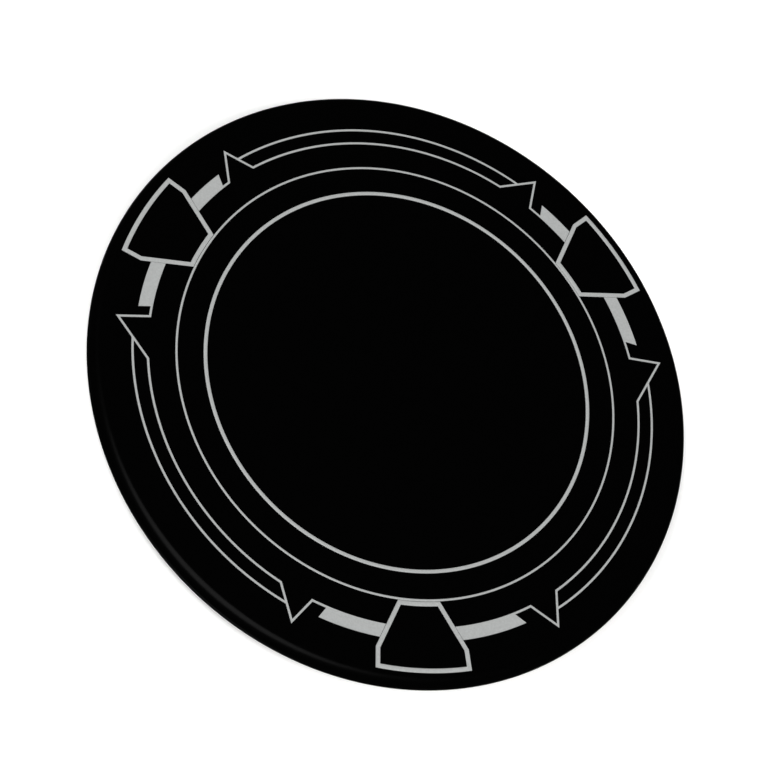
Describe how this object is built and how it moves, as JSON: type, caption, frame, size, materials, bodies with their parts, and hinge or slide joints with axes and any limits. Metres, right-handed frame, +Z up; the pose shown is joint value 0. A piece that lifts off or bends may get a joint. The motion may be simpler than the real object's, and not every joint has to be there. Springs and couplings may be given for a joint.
{
  "type": "dealer button",
  "caption": "Flat round two-sided black table marker with a blank centre and a silver inlaid pattern of rings, tabs and pointed arcs round the rim.",
  "frame": {"origin": "centre of the back face, which lies on the table", "axes": "+Z up through the thickness, out of the front face; the tab frame between the two lower sector lines is towards -Y"},
  "size_m": [0.0762, 0.0762, 0.0032],
  "materials": {
    "shell": "black moulded plastic with a fine satin grain",
    "centre_disc": "blank black label stock, smooth and dull",
    "silver_inlay": "satin silver-grey with a very fine grain",
    "weight": "zinc-plated stamped sheet"
  },
  "bodies": {
    "root": {"front_shell": "shell", "back_shell": "shell", "steel_weight": "weight", "front_centre_disc": "centre_disc", "front_border_ring": "silver_inlay", "front_thin_ring": "silver_inlay", "front_tab_frame_1": "silver_inlay", "front_tab_frame_2": "silver_inlay", "front_tab_frame_3": "silver_inlay", "front_sector_line_1": "silver_inlay", "front_sector_line_2": "silver_inlay", "front_sector_line_3": "silver_inlay", "back_centre_disc": "centre_disc", "back_border_ring": "silver_inlay", "back_thin_ring": "silver_inlay", "back_tab_frame_1": "silver_inlay", "back_tab_frame_2": "silver_inlay", "back_tab_frame_3": "silver_inlay", "back_sector_line_1": "silver_inlay", "back_sector_line_2": "silver_inlay", "back_sector_line_3": "silver_inlay"}
  },
  "joints": []
}
